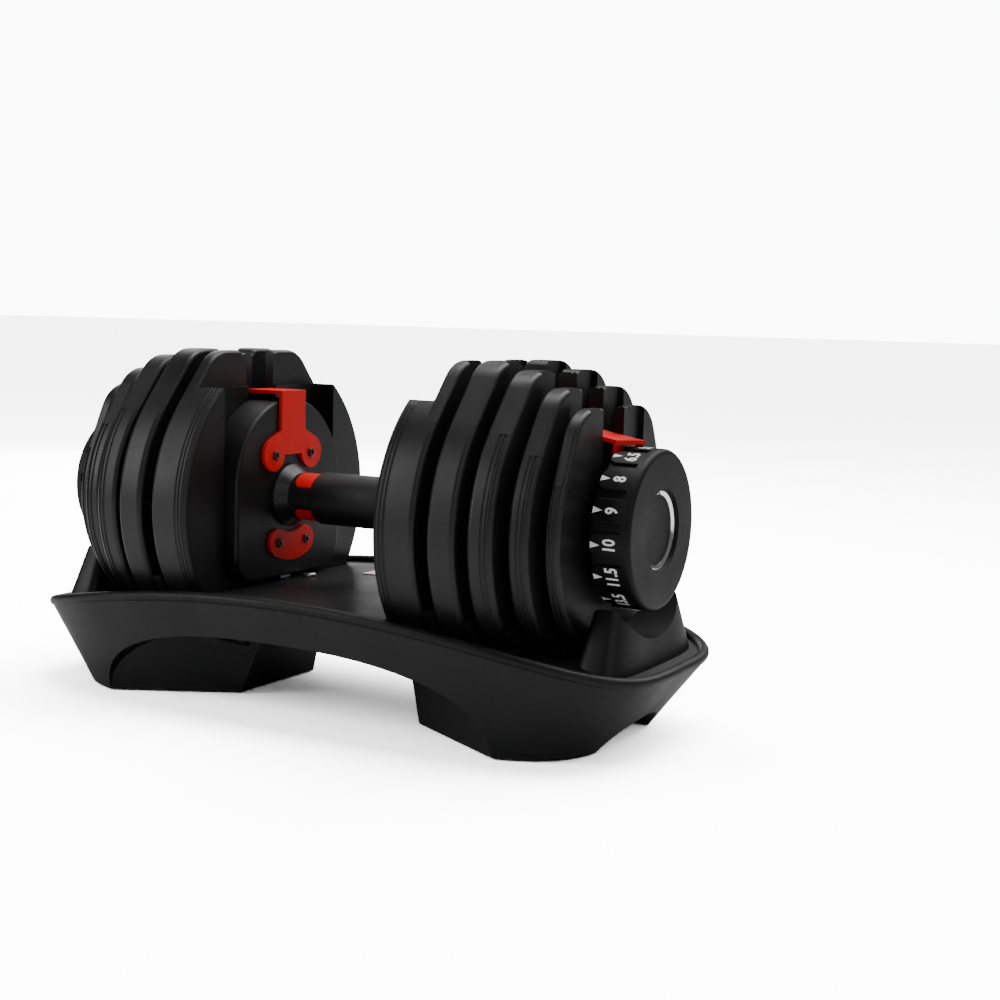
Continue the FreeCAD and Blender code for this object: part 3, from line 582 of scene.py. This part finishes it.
# ---------------------------------------------------------------- screws
@dataclass
class Screw:
    """A button head with a hexagonal socket, on a short shank."""

    head: float
    height: float
    socket: float
    depth: float
    shank: float
    reach: float
    facets: int = 40
    dome: float = 0.62
    dome_steps: int = 5
    smooth_angle: float = 40.0

    def build(self, name: str) -> bpy.types.Object:
        """Model the screw at the origin, with its head's underside at height 0 and its top up.

        Args:
            name: the name of the new object.

        Returns:
            The screw.
        """
        clear_selection()
        bpy.ops.mesh.primitive_cylinder_add(vertices=self.facets, radius=self.head,
                                            depth=self.height, location=(0, 0, self.height / 2))
        screw = settle(bpy.context.object, name)
        bpy.ops.object.mode_set(mode="EDIT")
        rim = self.height - DOUBLES
        pick(screw, "edges", lambda e: all(v.co.z > rim for v in e.verts))
        bpy.ops.mesh.bevel(offset=self.height * self.dome, segments=self.dome_steps, profile=0.5)
        pick(screw, "faces", lambda f: f.normal.z < -0.9)
        bpy.ops.mesh.inset(thickness=self.head - self.shank)
        bpy.ops.mesh.extrude_region_move(TRANSFORM_OT_translate={"value": (0, 0, -self.reach)})
        bpy.ops.object.mode_set(mode="OBJECT")
        clear_selection()
        bpy.ops.mesh.primitive_cylinder_add(vertices=6, radius=self.socket, depth=2 * self.depth,
                                            location=(0, 0, self.height))
        cutter = settle(bpy.context.object, "socket_cutter")
        make_active(screw)
        cut = screw.modifiers.new("socket", "BOOLEAN")
        cut.operation = "DIFFERENCE"
        cut.solver = "EXACT"
        cut.object = cutter
        apply_all(screw)
        bpy.data.objects.remove(cutter)
        return screw


@dataclass
class CoverScrews:
    """The screws that hold the painted bridges and retainers to the covers."""

    face_x: float = 0.0563
    axis_z: float = AXIS_Z
    places: tuple[tuple[float, float], ...] = ((0.0185, 0.0265), (-0.0185, 0.0265),
                                               (0.014, -0.0295), (-0.014, -0.0295))
    kind: Screw = field(default_factory=lambda: Screw(head=0.0029, height=0.0014, socket=0.0013,
                                                      depth=0.0009, shank=0.0015, reach=0.003))

    def build(self, workshop: Workshop) -> None:
        """Put four screws on each cover."""
        master = self.kind.build("cover_screw")
        facing_hand = Matrix.Rotation(-math.pi / 2, 4, "Y")
        screws = []
        for y, height in self.places:
            place = Matrix.Translation((self.face_x, y, self.axis_z + height)) @ facing_hand
            screws.append(placed_copy(master, "cover_screw_copy", place))
            screws.append(placed_copy(master, "cover_screw_copy", HALF_TURN @ place))
        bpy.data.objects.remove(master)
        piece = join(screws, "cover_button_screws")
        smooth(piece, self.kind.smooth_angle)
        workshop.dress(piece, "dark_screw")
        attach(piece, "handle")
        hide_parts("cover_screws")


@dataclass
class DeckScrews:
    """The two round-headed screws in the tray's floor."""

    lean: float = 6.0
    kind: Screw = field(default_factory=lambda: Screw(head=0.0046, height=0.0019, socket=0.0019,
                                                      depth=0.0012, shank=0.002, reach=0.0006))

    def build(self, workshop: Workshop) -> None:
        """Put a screw where each deck screw of the frame sits."""
        low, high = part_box("deck_screws")
        reach = self.kind.head
        master = self.kind.build("deck_screw")
        base = high.z - self.kind.height
        x, y = high.x - reach, low.y + reach
        place = Matrix.Translation((x, y, base)) @ Matrix.Rotation(math.radians(self.lean), 4, "Y")
        screws = [placed_copy(master, "deck_screw_copy", m) for m in (place, HALF_TURN @ place)]
        bpy.data.objects.remove(master)
        piece = join(screws, "deck_button_screws")
        smooth(piece, self.kind.smooth_angle)
        workshop.dress(piece, "screw_steel")
        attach(piece, "cradle")
        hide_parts("deck_screws")


def main() -> None:
    """Build the studio and dress the frame."""
    logging.basicConfig(level=logging.INFO)
    Studio().build()
    workshop = Workshop()
    workshop.dress_frame()
    LOG.info("frame dressed")
    for maker in (DialMarks(), RecessRing(), CoverScrews(), DeckScrews()):
        maker.build(workshop)
        LOG.info("built %s", type(maker).__name__)


if __name__ == "__main__":
    main()
